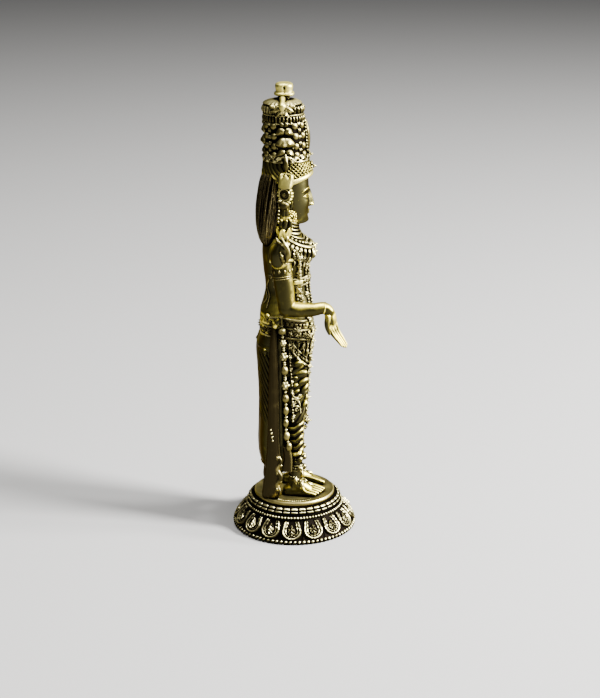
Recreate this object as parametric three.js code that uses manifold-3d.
// A miniature cast-brass figure of Vishnu standing on a round lotus plinth.
//
// Millimetres, +Z up. The origin is the middle of the plinth's underside and the figure faces -Y,
// so its right hand is on the -X side. Two castings: the lotus plinth, and the figure with the thin
// round foot plate that it was cast with, which stands on the plinth's flat top.
//
// The figure follows its own canon. One unit is a hundredth of its height, from the soles to the
// tip of the crown, and a place is given as (side, forward, up) from the middle of the foot plate.

import * as THREE from "three";
import { mergeVertices } from "three/addons/utils/BufferGeometryUtils.js";
import Module from "manifold-3d";

const wasm = await Module();
wasm.setup();

// Driving dimensions, in millimetres.
const figureHeight = 82.7; // soles to the tip of the crown
const plinthHeight = 6.4; // underside to the seat of the foot plate
const plinthRadius = 12.0; // at the tips of the petals
const seatRadius = 8.6; // of the flat seat under the foot plate
const footRollHeight = 0.9; // of the beaded roll round the foot of the plinth
const footRollDepth = 0.55; // how far it stands out from the petals' tips
const collarRadius = 9.7; // of the beaded roll above the petals
const collarRoll = 0.32; // half the height of that roll
const collarHeight = 4.65; // of that roll's middle above the underside
const collarNeck = 0.45; // from that roll's middle up or down to where it meets the plinth
const petalCount = 16;
const petalRelief = 0.55; // how far a petal's border stands out
const neckRadius = 8.9; // of the hollow between the collar and the notched ring
const notchRadius = 9.4; // of the notched ring round the plinth's top
const notchHeight = 0.65; // of that ring
const notchDepth = 0.22; // of its notches
const topBevel = 0.22; // height of the slope from that ring up to the seat
const plateRadius = 8.1;
const plateThickness = 0.9;
const plateLip = 0.35; // width of the plate's raised edge
const plateDish = 0.2; // depth of the floor inside that edge
const footSink = 0.1; // how far the feet and drapery run into the plate's floor

const unit = figureHeight / 100;
const soleHeight = plinthHeight + plateThickness;
const plateFloor = -(plateDish + footSink) / unit; // where feet and drapery start, in canon units
const TURN = 2 * Math.PI;

// A place in the figure's own canon: side is towards its left hand, forward towards its face.
function at(side, forward, up) {
  return new THREE.Vector3(side * unit, -forward * unit, soleHeight + up * unit);
}

// The row of a table at a height, with straight steps between its rows. The first column is the
// height, and it rises down the table.
function rowAt(table, up) {
  const last = table.length - 2;
  const found = table.findIndex((row, i) => i <= last && up <= table[i + 1][0]);
  const i = found < 0 ? last : found;
  const [low, high] = [table[i], table[i + 1]];
  const t = THREE.MathUtils.clamp((up - low[0]) / (high[0] - low[0]), 0, 1);
  return low.map((value, column) => value + (high[column] - value) * t);
}

// Spreads count values evenly from first to last.
function spread(first, last, count) {
  return Array.from({ length: count }, (_, i) => first + ((last - first) * i) / (count - 1));
}

// A closed solid through rings of points, each wound anticlockwise about the way the rings run. Each
// four-cornered patch is folded along its shorter diagonal.
function loft(rings) {
  const sides = rings[0].length;
  const points = rings.flat();
  const faces = [];
  for (let ring = 0; ring + 1 < rings.length; ring++)
    for (let side = 0; side < sides; side++) {
      const a = ring * sides + side;
      const b = ring * sides + ((side + 1) % sides);
      const [c, d] = [b + sides, a + sides];
      const acrossIsShorter = points[b].distanceTo(points[d]) < points[a].distanceTo(points[c]);
      faces.push(...(acrossIsShorter ? [a, b, d, b, c, d] : [a, b, c, a, c, d]));
    }
  const middle = (ring) => ring.reduce((sum, p) => sum.add(p), new THREE.Vector3()).divideScalar(sides);
  const first = points.push(middle(rings[0])) - 1;
  const last = points.push(middle(rings.at(-1))) - 1;
  const top = (rings.length - 1) * sides;
  for (let side = 0; side < sides; side++) {
    const next = (side + 1) % sides;
    faces.push(first, next, side, last, top + side, top + next);
  }
  return new THREE.BufferGeometry().setFromPoints(points).setIndex(faces);
}

// A column of level oval sections, from rows of height, back, front and half-width. relief(angle) is
// added to the radius. Angle 0 is straight ahead and grows towards the left.
function column(rows, sides, squareness = 1, relief = () => 0) {
  const round = (value) => Math.sign(value) * Math.abs(value) ** squareness;
  return loft(
    rows.map(([up, back, front, halfWidth]) =>
      Array.from({ length: sides }, (_, i) => {
        const angle = (i / sides) * TURN;
        const swell = relief(angle);
        return at(
          (halfWidth + swell) * round(Math.sin(angle)),
          (front + back) / 2 + ((front - back) / 2 + swell) * round(Math.cos(angle)),
          up,
        );
      }),
    ),
  );
}

// A round-ended limb through stations of [side, forward, up, radius]. flat is its width from side to
// side as a share of its depth.
function limb(stations, sides, flat = 1) {
  const path = new THREE.CatmullRomCurve3(stations.map(([s, f, u]) => at(s, f, u)), false, "centripetal");
  const last = stations.length - 1;
  const ring = (station, beyond = 0, share = 1) => {
    const radius = unit * stations[station][3];
    const along = path.getTangent(station / last);
    const middle = path.getPoint(station / last).addScaledVector(along, beyond * radius);
    const across = new THREE.Vector3(1, 0, 0).addScaledVector(along, -along.x).normalize();
    const through = along.clone().cross(across);
    return Array.from({ length: sides }, (_, side) => {
      const angle = (side / sides) * TURN;
      return middle
        .clone()
        .addScaledVector(across, flat * share * radius * Math.cos(angle))
        .addScaledVector(through, share * radius * Math.sin(angle));
    });
  };
  return loft([ring(0, -0.7, 0.6), ...stations.map((_, station) => ring(station)), ring(last, 0.7, 0.6)]);
}

// An ellipsoid with half-sizes in canon units.
function lump([side, forward, up], [halfSide, halfForward, halfUp], across = 8, down = 6) {
  const middle = at(side, forward, up);
  return new THREE.SphereGeometry(unit, across, down)
    .rotateX(Math.PI / 2)
    .scale(halfSide, halfForward, halfUp)
    .translate(middle.x, middle.y, middle.z);
}

// A closed geometry as a solid that can be joined and cut.
function solidOf(geometry) {
  const bare = new THREE.BufferGeometry().setAttribute("position", geometry.getAttribute("position"));
  bare.setIndex(geometry.index);
  const merged = mergeVertices(bare, 1e-5);
  return new wasm.Manifold(
    new wasm.Mesh({
      numProp: 3,
      vertProperties: new Float32Array(merged.attributes.position.array),
      triVerts: new Uint32Array(merged.index.array),
    }),
  );
}

// Joins leave slivers where two faces only just cross. This draws corners nearer than finest
// together, and turns the long edge of every face thinner than a fifth of that.
const finest = 0.01; // millimetres

function withoutSlivers(points, faces) {
  const root = points.map((_, i) => i);
  const rootOf = (i) => (root[i] === i ? i : (root[i] = rootOf(root[i])));
  for (const face of faces)
    face.forEach((corner, k) => {
      const [a, b] = [rootOf(corner), rootOf(face[(k + 1) % 3])];
      if (points[a].distanceTo(points[b]) < finest) root[b] = a;
    });
  const kept = faces.map((face) => face.map(rootOf)).filter(([a, b, c]) => a !== b && b !== c && c !== a);
  const length = ([a, b]) => points[a].distanceTo(points[b]);
  const turns = ([a, b, c]) => [
    [a, b, c],
    [b, c, a],
    [c, a, b],
  ];
  const longestFirst = (face) => turns(face).sort((f, g) => length(g) - length(f))[0];
  const thickness = (face) => {
    const area = new THREE.Triangle(...face.map((i) => points[i])).getArea();
    return (2 * area) / length(longestFirst(face));
  };
  for (let pass = 0; pass < 6; pass++) {
    const owner = new Map(kept.flatMap((face, i) => face.map((a, k) => [`${a} ${face[(k + 1) % 3]}`, i])));
    const turned = new Set();
    kept.forEach((face, i) => {
      if (turned.has(i) || thickness(face) > finest / 5) return;
      const [a, b, c] = longestFirst(face);
      const j = owner.get(`${b} ${a}`);
      const d = kept[j].find((corner) => corner !== a && corner !== b);
      if (turned.has(j) || owner.has(`${c} ${d}`) || owner.has(`${d} ${c}`)) return;
      [kept[i], kept[j]] = [[a, d, c], [d, b, c]];
      turned.add(i).add(j);
    });
  }
  return new THREE.BufferGeometry().setFromPoints(points).setIndex(kept.flat());
}

// Joins closed geometries that overlap into one solid, as a geometry.
function fuse(geometries) {
  const { vertProperties, triVerts } = geometries
    .map(solidOf)
    .reduce((whole, piece) => whole.add(piece))
    .getMesh();
  const inThrees = (list) =>
    Array.from({ length: list.length / 3 }, (_, i) => [...list.slice(3 * i, 3 * i + 3)]);
  const points = inThrees(vertProperties).map((place) => new THREE.Vector3(...place));
  return withoutSlivers(points, inThrees(triVerts));
}

// The same pieces on the figure's right and left, made for side -1 and then for side 1.
function bothSides(make) {
  return [-1, 1].flatMap(make);
}

// The plinth: a bell-shaped drum with a row of hanging lotus petals, a bead roll above and below
// them, and a notched ring round its flat top. Each row is a height and a radius.
function lotusPlinth() {
  const sides = 6 * petalCount;
  const petalHead = collarHeight - collarNeck;
  const notchTop = plinthHeight - topBevel;
  const notchFoot = notchTop - notchHeight;
  const flare = (share) => THREE.MathUtils.lerp(plinthRadius, collarRadius - collarRoll, share ** 1.4);
  const petalRows = [0, 0.16, 0.6, 1].map((share) => [
    THREE.MathUtils.lerp(footRollHeight, petalHead, share),
    flare(share),
  ]);
  const profile = [
    [0, plinthRadius],
    [footRollHeight / 2, plinthRadius + footRollDepth],
    ...petalRows,
    [collarHeight, collarRadius + collarRoll],
    [collarHeight + collarNeck, neckRadius],
    [notchFoot, notchRadius],
    [notchTop, notchRadius],
    [plinthHeight, seatRadius],
  ];
  // A petal hangs with its round tip down: a raised border, a groove and a leaf down its middle.
  const petal = (turn, height) => {
    const share = (height - footRollHeight) / (petalHead - footRollHeight);
    if (share <= 0.01 || share >= 0.99) return 0;
    const across = Math.round(6 * Math.abs(turn - Math.round(turn)));
    if (across === 3 || (across === 2 && share < 0.2)) return -0.3 * petalRelief;
    if (across === 2 || (across < 2 && share < 0.2)) return petalRelief;
    return across === 1 ? 0.1 * petalRelief : 0.75 * petalRelief;
  };
  const notch = (side, height) => (height >= notchFoot && side % 2 ? -notchDepth : 0);
  return loft(
    profile.map(([height, radius]) =>
      Array.from({ length: sides }, (_, i) => {
        const out = radius + petal((i / sides) * petalCount, height) + notch(i, height);
        const angle = (i / sides) * TURN;
        return new THREE.Vector3(out * Math.sin(angle), -out * Math.cos(angle), height);
      }),
    ),
  );
}

// The round plate under the feet, dished inside a raised edge.
function footPlate() {
  const outline = [
    [0, 0],
    [plateRadius, 0],
    [plateRadius, plateThickness],
    [plateRadius - plateLip, plateThickness],
    [plateRadius - plateLip - plateDish, plateThickness - plateDish],
    [0, plateThickness - plateDish],
  ].map(([radius, height]) => new THREE.Vector2(radius, height));
  return new THREE.LatheGeometry(outline, 32).rotateX(Math.PI / 2).translate(0, 0, plinthHeight);
}

// The dress from hem to belt. Its outline at each height is worked out for the left half, from the
// front pleats over the leg, the bead garland and the sash to the cloth behind, and mirrored.
const legSide = 3.6; // the legs' middle lines from the figure's own
const rowPitch = 1.75; // between the dress's rows of points, and half the pitch of the beads
const dressRows = 22;
const dressFoot = 5.6; // hem of the cloth behind
const frontHem = 9.0; // hem of the cloth over the shins
const pleatStep = 0.7;

// Rows are height, forward place of the leg's middle, half-depth and half-width.
const legRows = [
  [9.0, -0.6, 2.9, 2.5],
  [14.5, -0.9, 3.1, 2.8],
  [20.0, -0.9, 3.7, 3.2],
  [27.0, -0.9, 3.95, 3.4],
  [33.0, -0.7, 4.4, 3.5],
  [37.0, -0.6, 4.8, 3.6],
  [41.0, -0.6, 5.2, 3.6],
  [46.0, -0.9, 5.0, 3.3],
];
// Rows are height, side and forward place of the garland's beads.
const garlandRows = [
  [7.5, 6.6, -1.3],
  [15.4, 7.1, -1.7],
  [25.8, 7.7, -2.0],
  [33.1, 8.2, -2.4],
  [43.0, 8.3, -2.8],
  [47.0, 7.6, -3.0],
];
// Rows are height, side of the sash's face, and forward places of its front and rear edges.
const sashRows = [
  [plateFloor, 7.2, -4.3, -6.9],
  [2.5, 7.4, -4.0, -7.3],
  [8.0, 7.6, -4.0, -7.1],
  [26.0, 8.4, -3.6, -6.0],
  [43.0, 8.7, -3.9, -5.7],
  [47.0, 8.0, -4.1, -5.5],
];
// Rows are height, forward place of the back's middle and half-width behind the sash.
const backRows = [
  [5.6, -7.6, 5.0],
  [7.0, -8.3, 5.9],
  [9.3, -8.7, 6.3],
  [16.0, -8.4, 6.6],
  [24.0, -8.6, 7.1],
  [33.0, -9.0, 7.5],
  [36.5, -9.2, 7.5],
  [42.0, -8.3, 7.3],
  [47.0, -7.7, 6.2],
];

function dressOutline(up, row) {
  const [, legForward, legDepth, legWidth] = rowAt(legRows, up);
  const [, beadSide, beadForward] = rowAt(garlandRows, up);
  const [, sashSide, sashFront, sashRear] = rowAt(sashRows, up);
  const [, back, backWidth] = rowAt(backRows, up);
  const fold = (place) => 0.3 * Math.cos(place * TURN);
  const pleatFront = legForward + 0.93 * legDepth;
  const pleats = [0, 1, 2].map((k) => [pleatStep * k, pleatFront - (k % 2 ? 0.55 : 0) - 0.1 * k]);
  const leg = spread(-22, 90, 6).map((degrees) => {
    const angle = THREE.MathUtils.degToRad(degrees);
    const out = fold((up - 2.5 * Math.cos(angle)) / (4 * rowPitch)) * Math.max(0, Math.sin(angle + 0.5));
    return [legSide + (legWidth + out) * Math.sin(angle), legForward + (legDepth + out) * Math.cos(angle)];
  });
  const bead = row % 2 ? 1.0 : 0.45;
  const garland = [
    [beadSide - 0.75, beadForward + 0.8],
    [beadSide - 0.5 + bead, beadForward],
    [beadSide - 0.75, beadForward - 0.8],
  ];
  const sash = [
    [sashSide - 0.6, sashFront],
    [sashSide, sashFront - 0.1],
    [sashSide, sashRear + 0.1],
    [sashSide - 0.7, sashRear],
  ];
  const behind = [54, 34, 15].map((degrees, k) => {
    const angle = THREE.MathUtils.degToRad(degrees);
    const out = 0.6 * fold((up + 5 * k) / (5 * rowPitch));
    const depth = back - sashRear + 0.4;
    return [(backWidth + out) * Math.sin(angle) ** 0.8, sashRear - 0.4 + (depth - out) * Math.cos(angle)];
  });
  const half = [...pleats, ...leg, ...garland, ...sash, ...behind, [0, back]];
  if (up >= frontHem) return half;
  // Below the hem in front only the sash and the cloth behind go on, with a shallow hollow before them.
  const inFront = pleats.length + leg.length + garland.length;
  const hollow = (share) => [share * (sashSide - 1), sashFront + 0.9 - 0.7 * share ** 2];
  return half.map((place, k) => (k < inFront ? hollow(k / inFront) : place));
}

function dress() {
  return loft(
    Array.from({ length: dressRows }, (_, row) => {
      const up = dressFoot + rowPitch * row;
      const left = dressOutline(up, row).map(([side, forward]) => at(side, forward, up));
      const right = left.slice(1, -1).map((p) => new THREE.Vector3(-p.x, p.y, p.z));
      return [...left, ...right.reverse()];
    }),
  );
}

// The foot of each side sash, which widens to a fishtail and stands on the plate.
function sashFoot(side) {
  const rows = spread(plateFloor, 11, 6).map((up) => {
    const [, out, front, rear] = rowAt(sashRows, up);
    const points = [
      [out - 1.4, front],
      [out + 0.1, front],
      [out + 0.1, rear],
      [out - 1.4, rear],
    ].map(([across, forward]) => at(side * across, forward, up));
    return side > 0 ? points : points.reverse();
  });
  return loft(rows);
}

// A shin and ankle with two knobbed anklets, and a foot with five toes.
// Rows are forward place along the sole, half-width and height of the instep.
const soleRows = [
  [-2.6, 1.2, 1.9],
  [-1.0, 1.6, 2.8],
  [1.5, 1.6, 2.7],
  [3.6, 1.8, 1.6],
  [5.6, 1.9, 0.9],
];

function foot(side) {
  const ankle = limb(
    [
      [side * 3.6, -0.4, 10.5, 2.1],
      [side * 3.6, -0.4, 9.6, 2.35],
      [side * 3.6, -0.4, 8.3, 1.9],
      [side * 3.6, -0.4, 7.2, 2.35],
      [side * 3.6, -0.4, 5.8, 1.85],
      [side * 3.6, -0.5, 2.2, 1.8],
    ],
    6,
  );
  const sole = soleRows.map(([forward, halfWidth, height]) =>
    Array.from({ length: 7 }, (_, i) => {
      const angle = (i / 7) * TURN;
      const rise = Math.cos(angle);
      const splay = 0.06 * side * (forward + 2.6);
      const up = rise > 0 ? height * rise : -plateFloor * rise;
      return at(side * 3.6 + splay - halfWidth * Math.sin(angle), forward, up);
    }),
  );
  const toes = [0, 1, 2, 3, 4].map((toe) => {
    const across = side * (2.75 + 0.72 * toe);
    const radius = toe === 0 ? 0.65 : 0.48;
    return lump([across, 6.0 - 0.3 * toe, 0.35], [radius, 1.5, radius], 4, 3);
  });
  return [ankle, loft(sole), ...toes];
}

// Waist, chest, shoulders and neck, with the double belt, the band under the breast and the collar.
// Rows are height, back, front and half-width.
const trunkRows = [
  [41.2, -8.1, 4.2, 7.2],
  [41.6, -8.7, 5.0, 7.9],
  [43.4, -8.7, 4.9, 7.8],
  [43.7, -8.2, 4.4, 7.2],
  [44.1, -8.4, 4.8, 7.3],
  [45.6, -8.2, 4.7, 7.0],
  [45.9, -7.7, 4.1, 6.4],
  [50.9, -7.0, 3.7, 5.1],
  [51.3, -7.4, 4.1, 5.5],
  [53.2, -7.4, 4.0, 5.5],
  [53.5, -7.0, 3.5, 5.2],
  [58.5, -7.6, 3.7, 6.8],
  [61.5, -7.7, 3.3, 7.3],
  [63.0, -7.8, 3.2, 7.2],
  [64.6, -7.0, 2.3, 5.4],
  [65.0, -6.2, 1.2, 3.6],
  [69.5, -4.6, 1.2, 2.7],
];

function trunk() {
  return [
    column(trunkRows, 16, 0.88),
    ...bothSides((side) => lump([side * 3.1, 1.6, 60.7], [3.0, 3.0, 2.6], 7, 5)),
    ...bothSides((side) => lump([side * 8.3, -2.8, 61.2], [2.5, 2.9, 2.2], 7, 5)),
  ];
}

// The pendants that hang on the belt and on the breast.
function pendants() {
  return [lump([0, 4.9, 43.2], [1.7, 0.9, 2.2], 7, 5), lump([0, 3.7, 60.0], [1.0, 0.9, 1.2], 6, 4)];
}

// The long flower garland from the shoulders to below the knees, with its pendant.
function longGarland() {
  const strand = [
    [7.0, 0.9, 62.6],
    [5.2, 4.2, 56.0],
    [5.2, 4.5, 44.0],
    [4.7, 4.1, 33.0],
    [3.4, 3.7, 23.0],
    [0.0, 3.3, 16.8],
  ];
  return [
    ...bothSides((side) => limb(strand.map(([s, f, u]) => [side * s, f, u, 0.6]), 5)),
    lump([0, 3.5, 16.2], [0.9, 0.8, 1.3], 6, 4),
  ];
}

// A hand: a palm, a thumb and fingers. reach is the way the fingers point, across the way they lie
// side by side from the thumb, and curl the way their tips turn. places are the fingers' places in
// the row, counted in finger widths from its middle.
function hand(palm, reach, across, curl, length, places = [-1.5, -0.5, 0.5, 1.5]) {
  const move = (from, ...steps) =>
    from.map((value, axis) => value + steps.reduce((sum, [way, far]) => sum + way[axis] * far, 0));
  const fingers = places.map((place) => {
    const root = move(palm, [reach, 2.2], [across, 0.66 * place]);
    const tip = move(root, [reach, length - 0.25 * Math.abs(place)], [curl, 0.25 * length]);
    return limb([[...root, 0.52], [...tip, 0.36]], 4);
  });
  const thumb = move(palm, [across, -0.9], [reach, 0.3]);
  const thumbTip = move(thumb, [reach, 2.2], [curl, 0.8], [across, -0.5]);
  return [
    limb([[...palm, 1.05], [...move(palm, [reach, 2.4]), 1.3]], 6),
    limb([[...thumb, 0.5], [...thumbTip, 0.38]], 4),
    ...fingers,
  ];
}

// The front right arm: the elbow at the side, the forearm level, the open hand held out and down.
function givingArm() {
  return [
    limb(
      [
        [-8.6, -2.8, 61.0, 2.4],
        [-9.2, -2.75, 58.6, 2.6],
        [-9.5, -2.6, 55.4, 2.5],
        [-10.0, -1.7, 49.6, 1.8],
      ],
      8,
      0.85,
    ),
    limb(
      [
        [-10.0, -1.8, 49.2, 1.8],
        [-9.8, 3.0, 48.9, 1.6],
        [-9.3, 7.4, 49.0, 1.25],
        [-9.2, 8.3, 48.7, 1.5],
      ],
      8,
    ),
    ...hand([-9.2, 8.6, 47.6], [0, 0.33, -0.94], [1, 0, 0], [0, 0.5, 0.2], 4.4),
  ];
}

// The front left arm: the elbow out, the hand resting on the hip.
function restingArm() {
  return [
    limb([[8.6, -2.8, 61.0, 2.4], [9.6, -3.0, 56.5, 2.5], [11.2, -3.2, 51.0, 2.0]], 7, 0.85),
    limb([[11.2, -3.2, 51.2, 1.9], [10.6, -0.4, 48.2, 1.6], [9.2, 2.0, 46.0, 1.3]], 7),
    ...hand([8.9, 2.6, 45.4], [-0.3, 0.25, -0.92], [-0.5, 0.8, 0.3], [-0.3, -0.2, 0], 3.4),
  ];
}

// The middles of the disc and the conch, in canon units.
const emblemSide = 12.1;
const emblemForward = -2.0;
const emblemUp = 77.9;

// A rear arm: it leaves the shoulder behind, bends outwards and holds an emblem up beside the ear
// on two raised fingers.
function raisedArm(side) {
  const elbow = [side * (emblemSide - 1.9), -3.5, 59.5];
  const cuff = [side * (emblemSide - 1.2), emblemForward - 0.4, emblemUp - 11.9];
  const wrist = [side * (emblemSide - 1.0), emblemForward - 0.2, emblemUp - 10.7];
  const palm = [side * (emblemSide - 0.8), emblemForward, emblemUp - 9.5];
  return [
    limb([[side * 8.0, -3.8, 61.0, 2.1], [...elbow, 1.8]], 7),
    limb([[...elbow, 1.75], [...cuff, 1.1], [...wrist, 1.5]], 7),
    ...hand(palm, [0.1 * side, 0, 0.99], [0, -1, 0], [0, 0, 0], 5.0, [-0.5, 0.5]),
  ];
}

// The emblem in the right rear hand: a rimmed disc with a hub, turned half towards the front.
function discus() {
  const place = at(-emblemSide, emblemForward, emblemUp);
  const outline = [
    [0, -0.85],
    [0.8, -0.75],
    [1.0, -0.35],
    [2.2, -0.6],
    [2.7, 0],
    [2.2, 0.6],
    [1.0, 0.35],
    [0.8, 0.75],
    [0, 0.85],
  ].map(([radius, through]) => new THREE.Vector2(radius * unit, through * unit));
  const halfTurned = THREE.MathUtils.degToRad(50);
  return new THREE.LatheGeometry(outline, 12).rotateZ(halfTurned).translate(place.x, place.y, place.z);
}

// The emblem in the left rear hand: a conch standing on the fingertips.
function conch() {
  const profile = [
    [-4.4, 0.5],
    [-2.4, 1.5],
    [-0.2, 1.8],
    [1.2, 1.1],
    [1.7, 1.3],
    [2.8, 0.5],
  ];
  return limb(profile.map(([rise, radius]) => [emblemSide, emblemForward, emblemUp + rise, radius]), 8);
}

// The head: an oval with brow, nose, lips, chin and ears, and heavy round ear ornaments.
function head() {
  return [
    lump([0, -1.7, 73.6], [5.0, 5.3, 6.6], 12, 7),
    lump([0, 0.4, 70.0], [3.3, 2.8, 2.9], 7, 5),
    limb([[0, 3.3, 75.6, 0.5], [0, 4.15, 72.6, 0.8]], 5),
    lump([0, 3.2, 70.6], [1.3, 0.7, 0.7], 6, 4),
    ...bothSides((side) => [
      lump([side * 2.0, 2.9, 74.6], [1.3, 0.8, 0.6], 6, 4),
      lump([side * 5.2, -1.5, 73.4], [0.8, 1.2, 2.3], 6, 5),
      lump([side * 5.9, -1.2, 70.0], [1.1, 1.9, 2.0], 7, 5),
    ]),
  ];
}

// The long hair that falls behind, ribbed by its locks. Rows are height, back, front, half-width.
const hairRows = [
  [60.6, -7.8, -5.6, 4.6],
  [61.8, -8.6, -4.6, 6.2],
  [65.5, -8.8, -4.0, 6.6],
  [70.0, -8.8, -3.0, 6.2],
  [74.5, -8.3, -2.2, 5.6],
  [79.0, -7.7, -1.4, 5.2],
];

function hair() {
  const locks = (angle) => (Math.cos(angle) < 0.2 ? 0.25 * Math.cos(11 * angle) : 0);
  return column(hairRows, 22, 1, locks);
}

// The tall crown: a diadem on the brow, a broad band, tiers of bosses, a petalled rim, a dome and
// a bud on top. Rows are height, radius, forward place of the middle and the relief of the bosses.
const crownRows = [
  [77.2, 5.0, -1.8, 0],
  [77.6, 5.7, -1.8, 0],
  [80.8, 5.6, -1.9, 0],
  [81.4, 5.95, -1.95, 0],
  [82.4, 5.95, -1.95, 0],
  [82.9, 5.3, -1.95, 0],
  [84.3, 5.35, -2.0, 0.32],
  [86.2, 5.35, -2.05, -0.32],
  [88.1, 5.3, -2.15, 0.32],
  [90.0, 5.2, -2.3, -0.32],
  [92.4, 4.95, -2.5, 0.25],
  [93.5, 5.25, -2.7, 0],
  [94.5, 5.2, -2.7, 0],
  [95.0, 4.4, -2.6, 0],
  [96.6, 2.0, -2.4, 0.1],
  [98.0, 0.9, -2.3, 0],
];
const crownBosses = 12; // bosses in each tier, and each tier stands half a boss round from the last

function crown() {
  const sides = 2 * crownBosses;
  const browRise = 1.6; // the diadem's lower edge rises towards the brow
  const body = loft(
    crownRows.map(([up, radius, forward, relief]) =>
      Array.from({ length: sides }, (_, i) => {
        const angle = (i / sides) * TURN;
        const out = radius + relief * (i % 2 ? -1 : 1);
        const brow = up < 79 ? browRise * Math.max(0, Math.cos(angle)) : 0;
        return at(out * Math.sin(angle), forward + out * Math.cos(angle), up + brow);
      }),
    ),
  );
  const bud = lump([0, -2.3, 98.5], [2.0, 2.05, 1.5], 8, 6);
  const frontJewel = lump([0, 3.6, 82.6], [1.1, 0.7, 2.4], 6, 4);
  return [body, bud, frontJewel];
}

function figure() {
  return fuse([
    footPlate(),
    dress(),
    ...bothSides(sashFoot),
    ...bothSides(foot),
    ...trunk(),
    ...pendants(),
    ...longGarland(),
    ...givingArm(),
    ...restingArm(),
    ...bothSides(raisedArm),
    discus(),
    conch(),
    ...head(),
    hair(),
    ...crown(),
  ]);
}

const brass = () => new THREE.MeshStandardMaterial({ color: 0xb08d3c, roughness: 0.35, metalness: 1 });

function piece(name, geometry) {
  const mesh = new THREE.Mesh(geometry, brass());
  mesh.name = name;
  return mesh;
}

const group = new THREE.Group();
group.add(piece("lotus_plinth", lotusPlinth()));
group.add(piece("vishnu_figure", figure()));

export default group;
